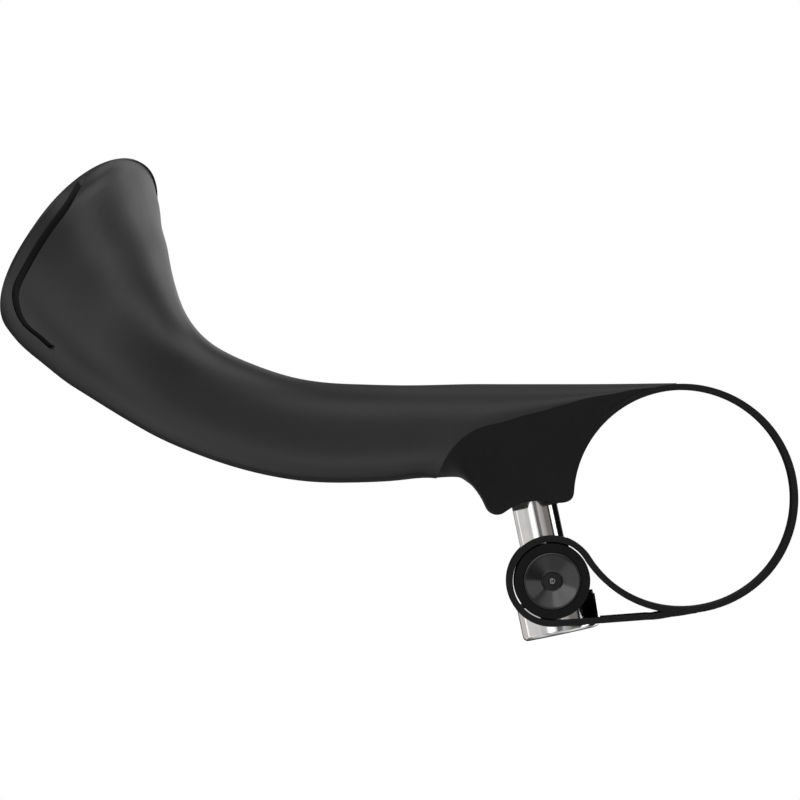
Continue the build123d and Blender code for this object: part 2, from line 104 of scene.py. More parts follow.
# ---------------------------------------------------------------- helpers
def spline(xs, ys, xq):
    """Natural cubic spline through ys (n, k) at xs, evaluated at xq."""
    xs, ys, xq = np.asarray(xs, float), np.asarray(ys, float), np.asarray(xq, float)
    if ys.ndim == 1:
        ys = ys[:, None]
    n = len(xs)
    h = np.diff(xs)
    A = np.zeros((n, n)); R = np.zeros((n, ys.shape[1]))
    A[0, 0] = A[-1, -1] = 1
    for i in range(1, n - 1):
        A[i, i - 1], A[i, i], A[i, i + 1] = h[i - 1], 2 * (h[i - 1] + h[i]), h[i]
        R[i] = 6 * ((ys[i + 1] - ys[i]) / h[i] - (ys[i] - ys[i - 1]) / h[i - 1])
    M = np.linalg.solve(A, R)
    i = np.clip(np.searchsorted(xs, xq) - 1, 0, n - 2)
    t0, t1, hh = (xs[i + 1] - xq)[:, None], (xq - xs[i])[:, None], h[i][:, None]
    return (M[i] * t0 ** 3 + M[i + 1] * t1 ** 3) / (6 * hh) + (ys[i] / hh - M[i] * hh / 6) * t0 + \
        (ys[i + 1] / hh - M[i + 1] * hh / 6) * t1


def curve_through(pts, count):
    p = np.array(pts, float)
    d = np.r_[0, np.cumsum(np.hypot(*np.diff(p, axis=0).T))]
    return spline(d, p, np.linspace(0, d[-1], count))


def mesh_object(name, verts, faces, smooth=True, mm=True):
    me = bpy.data.meshes.new(name)
    v = np.asarray(verts, float) * (MM if mm else 1)
    me.from_pydata([tuple(x) for x in v], [], [tuple(int(q) for q in f) for f in faces])
    me.update()
    bm = bmesh.new(); bm.from_mesh(me)
    bmesh.ops.remove_doubles(bm, verts=bm.verts, dist=1e-7)
    bmesh.ops.recalc_face_normals(bm, faces=bm.faces)
    bm.to_mesh(me); bm.free()
    for p in me.polygons:
        p.use_smooth = smooth
    ob = bpy.data.objects.new(name, me)
    bpy.context.scene.collection.objects.link(ob)
    return ob


def apply_modifiers(ob):
    dg = bpy.context.evaluated_depsgraph_get()
    bpy.context.view_layer.update()
    me = bpy.data.meshes.new_from_object(ob.evaluated_get(dg), depsgraph=dg)
    old = ob.data
    ob.modifiers.clear()
    ob.data = me
    bpy.data.meshes.remove(old)
    return ob


def boolean(ob, cutter, op="DIFFERENCE", self_cut=False):
    m = ob.modifiers.new("b", "BOOLEAN")
    m.operation, m.object, m.solver, m.use_self = op, cutter, "EXACT", self_cut
    apply_modifiers(ob)
    return ob


def drop(*obs):
    for o in obs:
        me = o.data
        bpy.data.objects.remove(o)
        if me and me.users == 0:
            bpy.data.meshes.remove(me)


def shade(ob, angle=35):
    """Smooth shading with sharp edges above the angle."""
    bm = bmesh.new(); bm.from_mesh(ob.data)
    for f in bm.faces:
        f.smooth = True
    for e in bm.edges:
        if len(e.link_faces) == 2:
            e.smooth = e.calc_face_angle(0.0) < math.radians(angle)
        else:
            e.smooth = False
    bm.to_mesh(ob.data); bm.free()


def flat_faces_first(ob):
    """Corner normals weighted by face area, so flat faces stay flat beside their rounded edges."""
    m = ob.modifiers.new("w", "WEIGHTED_NORMAL")
    m.mode, m.weight, m.keep_sharp, m.thresh = "FACE_AREA", 100, True, 0.01
    apply_modifiers(ob)


def prism(name, loop, y0, y1):
    """Closed prism of an x,z outline between two y planes."""
    loop = np.array(loop, float)
    n = len(loop)
    v = [(x, y0, z) for x, z in loop] + [(x, y1, z) for x, z in loop]
    f = [tuple(range(n)), tuple(range(2 * n - 1, n - 1, -1))]
    f += [(i, (i + 1) % n, n + (i + 1) % n, n + i) for i in range(n)]
    return mesh_object(name, v, f, smooth=False)


# ---------------------------------------------------------------- arm surface
_P = []
for top, bot, turn, w, n in SECTIONS:
    _P.append([(top[0] + bot[0]) / 2, (top[1] + bot[1]) / 2, (top[0] - bot[0]) / 2,
               (top[1] - bot[1]) / 2, turn, w, n])
_P = np.array(_P)
_D = np.r_[0, np.cumsum(np.hypot(*np.diff(_P[:, :2], axis=0).T))]


def station(s):
    """Section data at distance s along the centre line."""
    q = spline(_D, _P, np.atleast_1d(s))
    q[:, 4] = np.clip(q[:, 4], 0, None)
    return q


def frames(q):
    hv = q[:, 2:4]; h = np.hypot(hv[:, 0], hv[:, 1])
    ex, ez = hv[:, 0] / h, hv[:, 1] / h
    t = np.radians(q[:, 4]); z = np.zeros_like(t)
    e1 = np.stack([ex, z, ez], 1)
    e2 = np.stack([-ez * np.sin(t), -np.cos(t), ex * np.sin(t)], 1)
    c = np.stack([q[:, 0], z, q[:, 1]], 1)
    return c, e1, e2, h


def oval_ring(q, th, inset_h=0.0, inset_w=0.0):
    c, e1, e2, h = frames(q)
    ct, st = np.cos(th)[None], np.sin(th)[None]
    p = np.where(ct >= 0, (2 / q[:, 6])[:, None], 2 / 2.5)
    x = (h[:, None] - inset_h) * np.sign(ct) * np.abs(ct) ** p
    y = (q[:, 5][:, None] - inset_w) * np.sign(st) * np.abs(st) ** p
    return c[:, None] + x[..., None] * e1[:, None] + y[..., None] * e2[:, None]


c0, e10, e20, h0 = frames(_P[:1])
RIM_C, RIM_E1, RIM_E2, RIM_H = c0[0], e10[0], e20[0], float(h0[0])
_t = math.radians(17.6)
RIM_N = np.array([-RIM_E1[2] * math.cos(_t), math.sin(_t), RIM_E1[0] * math.cos(_t)])

NT = 256
# angles spaced evenly along a mid-size oval
_a = np.linspace(0, 2 * np.pi, 4001)
_x = np.sign(np.cos(_a)) * np.abs(np.cos(_a)) ** (2 / 2.3) * 7.2
_y = np.sign(np.sin(_a)) * np.abs(np.sin(_a)) ** (2 / 2.3) * 8.4
_l = np.r_[0, np.cumsum(np.hypot(np.diff(_x), np.diff(_y)))]
TH = np.interp(np.linspace(0, _l[-1], NT + 1)[:-1], _l, _a)

s_bell = np.r_[np.linspace(0.0, _D[3], 100)[1:], np.linspace(_D[3], _D[8], 60)[1:],
               np.linspace(_D[8], _D[-1], 150)[1:]]
Q = station(s_bell)
outer = oval_ring(Q, TH)


def groove_depth(rings):
    """The broad shallow dent that the groove runs out into at its top."""
    g = curve_through([(-81.6, 49.0), (-83.4, 48.2), (-85.6, 46.6), (-87.8, 44.6), (-89.6, 42.2)], 80)
    u = np.linspace(0, 1, 80)
    P = rings[..., [0, 2]].reshape(-1, 2)
    d = np.empty(len(P)); k = np.empty(len(P), int)
    for a in range(0, len(P), 4000):
        dd = np.hypot(P[a:a + 4000, None, 0] - g[None, :, 0], P[a:a + 4000, None, 1] - g[None, :, 1])
        k[a:a + 4000] = dd.argmin(1); d[a:a + 4000] = dd.min(1)
    f = np.clip(u[k] / 0.35, 0, 1) * np.clip((1 - u[k]) / 0.4, 0, 1)
    f = f * f * (3 - 2 * f)
    prof = np.clip((1.5 - d) / 1.5, 0, 1)
    prof = prof * prof * (3 - 2 * prof)
    return (f * prof).reshape(rings.shape[:2])


def ring_normals(R):
    du = np.roll(R, -1, 1) - np.roll(R, 1, 1)
    dv = np.gradient(R, axis=0)
    n = np.cross(du, dv)
    n /= np.linalg.norm(n, axis=2, keepdims=True) + 1e-12
    return n


near = (np.sin(TH) > 0)[None, :]
N = ring_normals(outer)
# point normals outwards
cc = frames(Q)[0][:, None]
if ((outer - cc) * N).sum() < 0:
    N = -N
gd = groove_depth(outer) * near * (Q[:, 0] < -70)[:, None]
outer = outer - N * (0.28 * gd)[..., None]

# rim: rounded lip from the outer wall to the inner wall
rim_rings = []
for a in np.linspace(0, 180, 9):
    a = math.radians(a)
    inset = 0.75 * (1 - math.cos(a)); rise = 0.45 * math.sin(a)
    rim_rings.append(oval_ring(_P[:1], TH, inset, inset)[0] + RIM_N * (rise - 0.45))
rim_rings = np.array(rim_rings)[::-1]                     # inner first
inner_s = np.r_[np.linspace(0.9, _D[1], 5), np.linspace(_D[1], _D[14], 60)[1:]]
Qi = station(inner_s)
ramp = np.clip((inner_s - 0.9) / 6, 0, 1)
inner = []
c_i, e1_i, e2_i, h_i = frames(Qi)
for k in range(len(inner_s)):
    inner.append(oval_ring(Qi[k:k + 1], TH, 1.55 + 0.45 * ramp[k], 1.55 + 0.45 * ramp[k])[0])
inner = np.array(inner)[::-1]                             # deep end first
rings = np.concatenate([inner, rim_rings, outer])
nr = len(rings)
verts = rings.reshape(-1, 3)
faces = []
for i in range(nr - 1):
    for j in range(NT):
        j2 = (j + 1) % NT
        faces.append((i * NT + j, i * NT + j2, (i + 1) * NT + j2, (i + 1) * NT + j))


def cap(ring_index, flip):
    """Closes a ring with strips from its top to its bottom."""
    base = ring_index * NT
    out = []
    half = NT // 2
    for j in range(half):
        a, b, c, d = base + j, base + j + 1, base + (NT - j - 1) % NT, base + (NT - j) % NT
        q = [a, b, c, d]
        q = list(dict.fromkeys(q))
        if len(q) >= 3:
            out.append(tuple(q if not flip else q[::-1]))
    return out


faces += cap(0, True) + cap(nr - 1, False)
arm = mesh_object("arm_body", verts, faces)

# the moulded groove: a narrow channel cut along its line on the near wall
gp = curve_through(GROOVE, 90)[6:]
near_v = outer[:, np.sin(TH) > 0].reshape(-1, 3)
near_n = N[:, np.sin(TH) > 0].reshape(-1, 3)
gy, gn = [], []
for p_ in gp:
    d_ = np.hypot(near_v[:, 0] - p_[0], near_v[:, 2] - p_[1])
    k_ = np.argsort(d_)[:6]
    w_ = 1 / (d_[k_] + 0.02)
    gy.append((near_v[k_, 1] * w_).sum() / w_.sum()); gn.append((near_n[k_] * w_[:, None]).sum(0) / w_.sum())
kern = np.ones(7) / 7
gy = np.convolve(np.pad(gy, 3, "edge"), kern, "valid")
gn = np.stack([np.convolve(np.pad(np.array(gn)[:, i], 3, "edge"), kern, "valid") for i in range(3)], 1)
gn /= np.linalg.norm(gn, axis=1, keepdims=True)
g3 = np.stack([gp[:, 0], gy, gp[:, 1]], 1)
tan_ = np.gradient(g3, axis=0); tan_ /= np.linalg.norm(tan_, axis=1, keepdims=True)
side_ = np.cross(tan_, gn); side_ /= np.linalg.norm(side_, axis=1, keepdims=True)
deep = 0.50 * np.clip(np.linspace(0, 1, len(g3)) / 0.16, 0.12, 1)
gv = []
for p_, n_, s_, dd_ in zip(g3, gn, side_, deep):
    for a_, b_ in ((0.57, 0.5), (0.54, -dd_ + 0.12), (0.42, -dd_), (-0.42, -dd_), (-0.54, -dd_ + 0.12), (-0.57, 0.5)):
        gv.append(p_ + s_ * a_ + n_ * b_)
gf = [tuple(range(6)), tuple(range(6 * len(g3) - 1, 6 * len(g3) - 7, -1))]
for i in range(len(g3) - 1):
    for k in range(6):
        gf.append((i * 6 + k, i * 6 + (k + 1) % 6, (i + 1) * 6 + (k + 1) % 6, (i + 1) * 6 + k))
channel = mesh_object("channel", gv, gf, smooth=False)
whole = arm.data.copy()
boolean(arm, channel)
if len(arm.data.polygons) < 0.6 * len(whole.polygons):    # the cut failed: keep the plain skin
    print("groove cut failed")
    arm.data = whole
drop(channel)

# ---- base profile and the parts that trim the arm
tipa = math.radians(105.2)
TIP = ((TUBE_R + STRAP_T) * math.cos(tipa), (TUBE_R + STRAP_T) * math.sin(tipa))
s_line = curve_through(S_CURVE + [TIP], 150)
arc_over = [((TUBE_R + STRAP_T) * math.cos(math.radians(a)), (TUBE_R + STRAP_T) * math.sin(math.radians(a)))
            for a in np.linspace(105.2, 72, 40)[1:]]
trim_loop = [tuple(p) for p in s_line] + arc_over + [(6.0, -8.0), (-36.02, -8.0)]
trim = prism("trim", trim_loop, -13, 13)
boolean(arm, trim)
drop(trim)

seam_line = curve_through(SEAM, 120)
seam_loop = [tuple(p) for p in seam_line] + [(-36.6, -2.0), (-89.8, -2.0)]
gap_loop = seam_loop

# ---- underside cover: the strip below the seam, a shade inside the arm's surface
cover_s = np.linspace(_D[3], _D[16], 150)
Qc = station(cover_s)
co = oval_ring(Qc, TH, 0.0, 0.3)
ci = oval_ring(Qc, TH, 1.25, 1.25)
rc = np.concatenate([ci[::-1], co])
fc = []
for i in range(len(rc) - 1):
    for j in range(NT):
        j2 = (j + 1) % NT
        fc.append((i * NT + j, i * NT + j2, (i + 1) * NT + j2, (i + 1) * NT + j))
b0, b1 = 0, (len(rc) - 1) * NT
fc += [tuple(b1 + j for j in range(NT)), tuple(b0 + j for j in range(NT))]
# the tube of skin is closed by joining its own ends, so a solid is built instead
vc = co.reshape(-1, 3)
fc = []
for i in range(len(co) - 1):
    for j in range(NT):
        j2 = (j + 1) % NT
        fc.append((i * NT + j, i * NT + j2, (i + 1) * NT + j2, (i + 1) * NT + j))
fc += [tuple(range(NT)), tuple((len(co) - 1) * NT + j for j in range(NT))]
cover = mesh_object("underside_strip", vc, fc)
seam_cut = prism("seam_cut", seam_loop, -13, 13)
boolean(cover, seam_cut, "INTERSECT")
drop(seam_cut)
gap_cut = prism("gap_cut", gap_loop, -13, 13)
boolean(arm, gap_cut)
drop(gap_cut)
shade(arm, 32)
shade(cover, 32)


# ---- clamp base with rounded edges
def rounded_prism(name, loop, half, radius, steps=5):
    """Prism of an x,z outline between y = +-half, its edges rounded over."""
    L = np.array(loop, float)
    rr = np.broadcast_to(np.asarray(radius, float), (len(L),))
    if np.sum(L[:, 0] * np.roll(L[:, 1], -1) - np.roll(L[:, 0], -1) * L[:, 1]) < 0:
        L, rr = L[::-1], rr[::-1]
    d = np.roll(L, -1, 0) - np.roll(L, 1, 0)
    d /= np.linalg.norm(d, axis=1, keepdims=True) + 1e-12
    nin = np.stack([-d[:, 1], d[:, 0]], 1)
    rings = []
    for a in np.linspace(0, 90, steps):
        a = math.radians(a)
        rings.append((L + nin * (rr * (1 - math.sin(a)))[:, None], half - rr * (1 - math.cos(a))))
    V = []
    n = len(L)
    for P, y in rings:
        V += [(P[i, 0], -y[i], P[i, 1]) for i in range(n)]
    for P, y in rings[::-1]:
        V += [(P[i, 0], y[i], P[i, 1]) for i in range(n)]
    m = 2 * len(rings)
    F = [tuple(range(n)), tuple((m - 1) * n + i for i in range(n - 1, -1, -1))]
    for k in range(m - 1):
        for i in range(n):
            j = (i + 1) % n
            F.append((k * n + i, (k + 1) * n + i, (k + 1) * n + j, k * n + j))
    return mesh_object(name, V, F), L


def arc(cx, cz, r, a0, a1, n):
    return [(cx + r * math.cos(math.radians(a)), cz + r * math.sin(math.radians(a)))
            for a in np.linspace(a0, a1, n)]


under = curve_through(UNDERSIDE, 110)[::-1]
base_loop = [tuple(p) for p in s_line] + arc(0, 0, TUBE_R + STRAP_T, 105.2, 135, 40)[1:] + \
    arc(0, 0, TUBE_R, 135, 177, 60) + [tuple(p) for p in under[1:-1]]
base_loop = np.array(base_loop)
n_top = len(s_line)
idx = np.arange(len(base_loop))
rad = np.full(len(base_loop), 0.02)
rad[idx >= len(base_loop) - 104] = 0.95
rad[idx >= len(base_loop) - 8] = 0.02
rad = np.convolve(np.r_[rad[-6:], rad, rad[:6]], np.ones(13) / 13, "same")[6:-6]
rad[np.abs(idx - n_top) < 16] = 0.004
# the saddle and the hidden top edge stay nearly sharp
base, _ = rounded_prism("base_pad", base_loop, HALF_W, rad)
hole = bpy.data.meshes.new("hole")


def cyl_along(name, origin, axis, r, a0, a1, seg=64):
    axis = np.array(axis, float); axis /= np.linalg.norm(axis)
    u = np.cross(axis, [0, 1, 0]); 
    if np.linalg.norm(u) < 1e-6:
        u = np.cross(axis, [1, 0, 0])
    u /= np.linalg.norm(u); v = np.cross(axis, u)
    V, F = [], []
    for a in (a0, a1):
        for k in range(seg):
            t = 2 * math.pi * k / seg
            V.append(np.array(origin) + axis * a + r * (math.cos(t) * u + math.sin(t) * v))
    F = [tuple(range(seg)), tuple(range(2 * seg - 1, seg - 1, -1))]
    F += [(k, (k + 1) % seg, seg + (k + 1) % seg, seg + k) for k in range(seg)]
    return mesh_object(name, V, F, smooth=False)


bore = cyl_along("bore", BC, SD, 3.8, 4.0, 17.8)
boolean(base, bore); drop(bore)
bore = cyl_along("bore2", BC, SD, 5.6, 17.0, 33.0)
boolean(base, bore); drop(bore)
# the tip under the arm narrows with the arm's own oval, so that it doesn't stand out as a fin
bm = bmesh.new(); bm.from_mesh(base.data)
for x_ in np.arange(-35.8, -26.9, 0.45):
    bmesh.ops.bisect_plane(bm, geom=bm.verts[:] + bm.edges[:] + bm.faces[:], dist=1e-8,
                           plane_co=(x_ * MM, 0, 0), plane_no=(1, 0, 0))
for z_ in np.arange(-2.2, 11.3, 0.55):
    part = [f for f in bm.faces if f.calc_center_median().x < -26.9 * MM]
    geom = part + list({e for f in part for e in f.edges}) + list({v for f in part for v in f.verts})
    bmesh.ops.bisect_plane(bm, geom=geom, dist=1e-8, plane_co=(0, 0, z_ * MM), plane_no=(0, 0, 1))
sq = np.linspace(_D[12], _D[18], 400)
qx = station(sq)
order = np.argsort(qx[:, 0])
for v in bm.verts:
    x_, z_ = v.co.x / MM, v.co.z / MM
    if x_ > -27.0:
        continue
    cz_, h_, w_, n_ = (np.interp(x_, qx[order, 0], qx[order, c]) for c in (1, 3, 5, 6))
    u_ = min(1.0, abs(z_ - cz_) / h_)
    p_ = 2 / n_ if z_ >= cz_ else 2 / 2.5
    ym = w_ * math.sqrt(max(0.0, 1 - u_ ** (2 / p_))) ** p_
    k_ = min(1.0, max(0.0, (x_ + 34.6) / 3.6)); k_ = k_ * k_ * (3 - 2 * k_)
    v.co.y *= max(ym * (1 - k_) + HALF_W * k_, 0.5) / HALF_W
bm.to_mesh(base.data); bm.free()
shade(base, 40)
flat_faces_first(base)
bpy.data.meshes.remove(hole)


# ---------------------------------------------------------------- turned parts
def lathe(name, origin, axis, profile, seg=96, closed=True):
    """Solid of revolution: profile of (radius, distance along axis)."""
    axis = np.array(axis, float); axis /= np.linalg.norm(axis)
    u = np.cross(axis, [0, 1, 0])
    if np.linalg.norm(u) < 1e-6:
        u = np.array([1.0, 0, 0])
    u /= np.linalg.norm(u); v = np.cross(axis, u)
    V, F = [], []
    n = len(profile)
    for r, a in profile:
        for k in range(seg):
            t = 2 * math.pi * k / seg
            V.append(np.array(origin) + axis * a + r * (math.cos(t) * u + math.sin(t) * v))
    for i in range(n - 1 if not closed else n):
        i2 = (i + 1) % n
        if profile[i][0] < 1e-9 and profile[i2][0] < 1e-9:
            continue
        for k in range(seg):
            k2 = (k + 1) % seg
            if profile[i][0] < 1e-9:
                F.append((i * seg, i2 * seg + k2, i2 * seg + k))
            elif profile[i2][0] < 1e-9:
                F.append((i * seg + k, i * seg + k2, i2 * seg))
            else:
                F.append((i * seg + k, i * seg + k2, i2 * seg + k2, i2 * seg + k))
    return mesh_object(name, V, F)


def fillet_profile(pts, radii, steps=6):
    """Rounds the corners of an open profile polyline."""
    out = []
    for i, p in enumerate(pts):
        r = radii[i]
        if r <= 0 or i in (0, len(pts) - 1):
            out.append(tuple(p)); continue
        a, b, c = np.array(pts[i - 1], float), np.array(p, float), np.array(pts[i + 1], float)
        u, v = (a - b) / np.linalg.norm(a - b), (c - b) / np.linalg.norm(c - b)
        ang = math.acos(np.clip(u @ v, -1, 1))
        t = r / math.tan(ang / 2)
        p0, p1 = b + u * t, b + v * t
        cen = b + (u + v) / np.linalg.norm(u + v) * (r / math.sin(ang / 2))
        a0 = math.atan2(*(p0 - cen)[::-1]); a1 = math.atan2(*(p1 - cen)[::-1])
        d = (a1 - a0 + math.pi) % (2 * math.pi) - math.pi
        for k in range(steps + 1):
            t_ = a0 + d * k / steps
            out.append((cen[0] + r * math.cos(t_), cen[1] + r * math.sin(t_)))
    return out


HB = HEAD_TOP - 5.0
prof = fillet_profile([(0, HB), (5.85, HB), (5.85, HEAD_TOP), (3.5, HEAD_TOP), (3.5, 15.6), (3.1, 16.0),
                       (2.5, 16.0)], [0, 0.7, 0.25, 0.15, 0.2, 0, 0])
# threaded end: a helix would be hidden, so ridges at the real pitch stand for the thread
z = 16.1
while z < 24.6:
    prof += [(2.5, z), (2.5, z + 0.18), (2.12, z + 0.36), (2.12, z + 0.44), (2.5, z + 0.62)]
    z += 0.8
prof += [(2.5, 24.6), (2.2, 25.0), (0, 25.0)]
screw = lathe("screw_chrome", BC, SD, prof, seg=128, closed=False)
hexv, hexf = [], []
_u = np.cross(SD, [0, 1, 0]); _u /= np.linalg.norm(_u); _v = np.cross(SD, _u)
for a in (HB - 1, HB + 3.0):
    for k in range(6):
        t = math.radians(60 * k + 30)
        hexv.append(BC + SD * a + 4.0 / math.sqrt(3) * (math.cos(t) * _u + math.sin(t) * _v))
hexf = [tuple(range(6)), tuple(range(11, 5, -1))] + [(k, (k + 1) % 6, 6 + (k + 1) % 6, 6 + k) for k in range(6)]
hexc = mesh_object("hexc", hexv, hexf, smooth=False)
boolean(screw, hexc); drop(hexc)
shade(screw, 30)
flat_faces_first(screw)

# ---- strap
NY = 25


def band(name, path, half, t, windows=(), r=0.14):
    """Flat band of thickness t along an x,z path, from y = -half to half, with rounded edges."""
    P = np.array(path, float)
    d = np.gradient(P, axis=0); d /= np.linalg.norm(d, axis=1, keepdims=True)
    nrm = np.stack([-d[:, 1], d[:, 0]], 1)
    half, t = np.broadcast_to(half, (len(P),)), np.broadcast_to(t, (len(P),))
    # cross-section loop (y, offset)
    V = []
    for i in range(len(P)):
        h, rc_ = t[i] / 2, min(r, t[i] * 0.3)
        m = 0
        for sy, so, a0 in ((1, 1, 0), (-1, 1, 90), (-1, -1, 180), (1, -1, 270)):
            for a in np.linspace(a0, a0 + 90, 4):
                y = sy * (half[i] - rc_) + rc_ * math.cos(math.radians(a))
                q = P[i] + nrm[i] * (so * (h - rc_) + rc_ * math.sin(math.radians(a)))
                V.append((q[0], y, q[1]))
                m += 1
    F = []
    for i in range(len(P) - 1):
        for k in range(m):
            k2 = (k + 1) % m
            F.append((i * m + k, i * m + k2, (i + 1) * m + k2, (i + 1) * m + k))
    F += [tuple(range(m)), tuple((len(P) - 1) * m + k for k in range(m))]
    return mesh_object(name, V, F)


la = math.radians(274.3)
p_low = np.array([BX + LOOP_MID * math.cos(la), BZ + LOOP_MID * math.sin(la)])
d_low = np.array([-math.sin(la), math.cos(la)])
path = arc(0, 0, STRAP_MID, 134.97, 212.36 - 360, 220) + arc(BX, BZ, LOOP_MID, 32.36, 274.3, 160)[1:] + \
    [tuple(p_low + d_low * s) for s in np.linspace(0, 13.4, 40)[1:]]
# the band stands a little off the tube on the side away from the base
path = np.array(path)
ang = np.degrees(np.arctan2(path[:, 1], path[:, 0]))
off = np.clip((95 - np.abs(ang)) / 60, 0, 1) * (np.hypot(path[:, 0], path[:, 1]) > STRAP_MID - 0.3)
off = off * off * (3 - 2 * off)
path = path + off[:, None] * np.array([0.14, -0.04])
thick = np.full(len(path), STRAP_T)
wide = np.full(len(path), HALF_W)
# the lower strand's end thins out into the underside of the strand round the tube
low = np.array([(-4.76, -17.79), (-3.30, -17.64), (-1.83, -17.38), (-0.37, -17.19), (1.10, -16.94), (2.12, -16.78)])
top_ = np.array([(-4.76, -16.91), (-3.30, -16.66), (-1.83, -16.52), (-0.37, -16.50), (1.10, -16.48), (2.12, -16.50)])
lowc, topc = curve_through(low, 26)[1:], curve_through(top_, 26)[1:]
path = np.vstack([path, (lowc + topc) / 2])
thick = np.r_[thick, np.hypot(*(lowc - topc).T)]
wide = np.r_[wide, np.full(len(lowc), HALF_W - 0.03)]
strap = band("strap_band", path, wide, thick)


def rounded_box_cut(name, a0, a1, wx, wy, r):
    """Cutter along the screw axis, wx across in the side view and wy along the tube."""
    pts = []
    for sx, sy, s0 in ((1, 1, 0), (-1, 1, 90), (-1, -1, 180), (1, -1, 270)):
        for a in np.linspace(s0, s0 + 90, 8):
            pts.append((sx * (wx / 2 - r) + r * math.cos(math.radians(a)),
                        sy * (wy / 2 - r) + r * math.sin(math.radians(a))))
    n = len(pts)
    ux = np.array([math.cos(TILT), 0, math.sin(TILT)]); uy = np.array([0, 1.0, 0])
    V = [BC + SD * a + ux * x + uy * y for a in (a0, a1) for x, y in pts]
    F = [tuple(range(n)), tuple(range(2 * n - 1, n - 1, -1))] + \
        [(k, (k + 1) % n, n + (k + 1) % n, n + k) for k in range(n)]
    return mesh_object(name, V, F, smooth=False)


cut = rounded_box_cut("w_shank", 1.0, 9.0, 8.4, 7.7, 3.6)
boolean(strap, cut); drop(cut)
cut = rounded_box_cut("w_head", -1.6, -9.6, 13.2, 12.6, 2.5)
boolean(strap, cut); drop(cut)
shade(strap, 40)
flat_faces_first(strap)

# ---- barrel, caps, pins
barrel = lathe("barrel_body", BC, (0, 1, 0), fillet_profile(
    [(0, -6.95), (4.27, -6.95), (4.27, -8.85), (5.6, -8.85), (5.6, 8.85), (4.27, 8.85), (4.27, 6.95), (0, 6.95)],
    [0, 0, 0.1, 0.22, 0.22, 0.1, 0, 0]), seg=128, closed=False)
bore = cyl_along("bore", BC, SD, 3.575, -9, 9)
boolean(barrel, bore); drop(bore)
bore = cyl_along("bore", BC, SD, 6.15, -10, -2.45, seg=96)
boolean(barrel, bore); drop(bore)
shade(barrel, 35)
flat_faces_first(barrel)

caps = []
for side in (-1, 1):
    pr = [(0, 6.95), (4.25, 6.95), (4.25, 8.6), (4.19, 8.74), (4.05, 8.82), (3.9, 8.80), (3.5, 8.66), (2.6, 8.37),
          (1.7, 8.08), (1.42, 7.98), (1.32, 7.88), (1.30, 7.75), (1.30, 7.46), (0.62, 7.44), (0.53, 7.50),
          (0.53, 8.10), (0.47, 8.26), (0.34, 8.36), (0.18, 8.41), (0, 8.42)]
    caps.append(lathe("cap_%s" % ("near" if side < 0 else "far"), BC, (0, side, 0), pr[:14] + [(0, 7.44)], seg=128,
                      closed=False))
    shade(caps[-1], 40)
pins = []
for side in (-1, 1):
    pr = [(0, 6.95), (0.53, 6.95), (0.53, 8.10), (0.50, 8.22), (0.42, 8.32), (0.30, 8.39), (0.15, 8.42), (0, 8.43)]
    pins.append(lathe("pin_%s" % ("near" if side < 0 else "far"), BC, (0, side, 0), pr, seg=48, closed=False))
    shade(pins[-1], 50)

# ---- glass: a convex plate with a ground edge
GC = RIM_C + RIM_E1 * -1.4
G_H, G_W, G_T, G_D, G_R = 12.05, 19.9, 1.6, 0.35, 600.0


def plate(name, rings_spec, nexp=2.1, count=144, dome=0.0):
    """Stack of scaled ovals: (inset, depth below the rim), closed at both ends by inner rings."""
    th = np.linspace(0, 2 * np.pi, count, endpoint=False)
    V, rows = [], 0
    for inset, depth in rings_spec:
        hh, ww = max(G_H - inset, 0.0), max(G_W - inset, 0.0)
        x = hh * np.sign(np.cos(th)) * np.abs(np.cos(th)) ** (2 / nexp)
        y = ww * np.sign(np.sin(th)) * np.abs(np.sin(th)) ** (2 / nexp)
        V += [GC + RIM_E1 * a + RIM_E2 * b - RIM_N * depth for a, b in zip(x, y)]
        rows += 1
    F = []
    for i in range(rows - 1):
        for k in range(count):
            k2 = (k + 1) % count
            F.append((i * count + k, i * count + k2, (i + 1) * count + k2, (i + 1) * count + k))
    F += [tuple(range(count)), tuple((rows - 1) * count + k for k in range(count))]
    return mesh_object(name, V, F)


glass = plate("glass_plate", [(0.3, G_D + G_T), (0.02, G_D + G_T - 0.25), (0.0, G_D + 0.35), (0.06, G_D + 0.2),
                              (0.35, G_D + 0.02), (0.5, G_D)])
# domed face, ring by ring
th = np.linspace(0, 2 * np.pi, 144, endpoint=False)
V, F = [], []
steps = 18
for i in range(steps):
    f = 1 - i / steps
    hh, ww = (G_H - 0.5) * f, (G_W - 0.5) * f
    for t in th:
        a = hh * np.sign(np.cos(t)) * abs(np.cos(t)) ** (2 / 2.1)
        b = ww * np.sign(np.sin(t)) * abs(np.sin(t)) ** (2 / 2.1)
        rise = ((G_W - 0.5) ** 2 - (a * a + b * b)) / (2 * G_R)
        edge = ((G_W - 0.5) ** 2 - ((G_H - 0.5) * np.cos(t)) ** 2 - ((G_W - 0.5) * np.sin(t)) ** 2) / (2 * G_R)
        V.append(GC + RIM_E1 * a + RIM_E2 * b - RIM_N * (G_D - (rise - edge * f * f)))
V.append(GC - RIM_N * (G_D - (G_W - 0.5) ** 2 / (2 * G_R)))
for i in range(steps - 1):
    for k in range(144):
        k2 = (k + 1) % 144
        F.append((i * 144 + k, i * 144 + k2, (i + 1) * 144 + k2, (i + 1) * 144 + k))
F += [((steps - 1) * 144 + k, (steps - 1) * 144 + (k + 1) % 144, len(V) - 1) for k in range(144)]
nv = 144 * 6
base_v = [np.array(v.co) / MM for v in glass.data.vertices]
bm = bmesh.new(); bm.from_mesh(glass.data)
bm.faces.ensure_lookup_table()
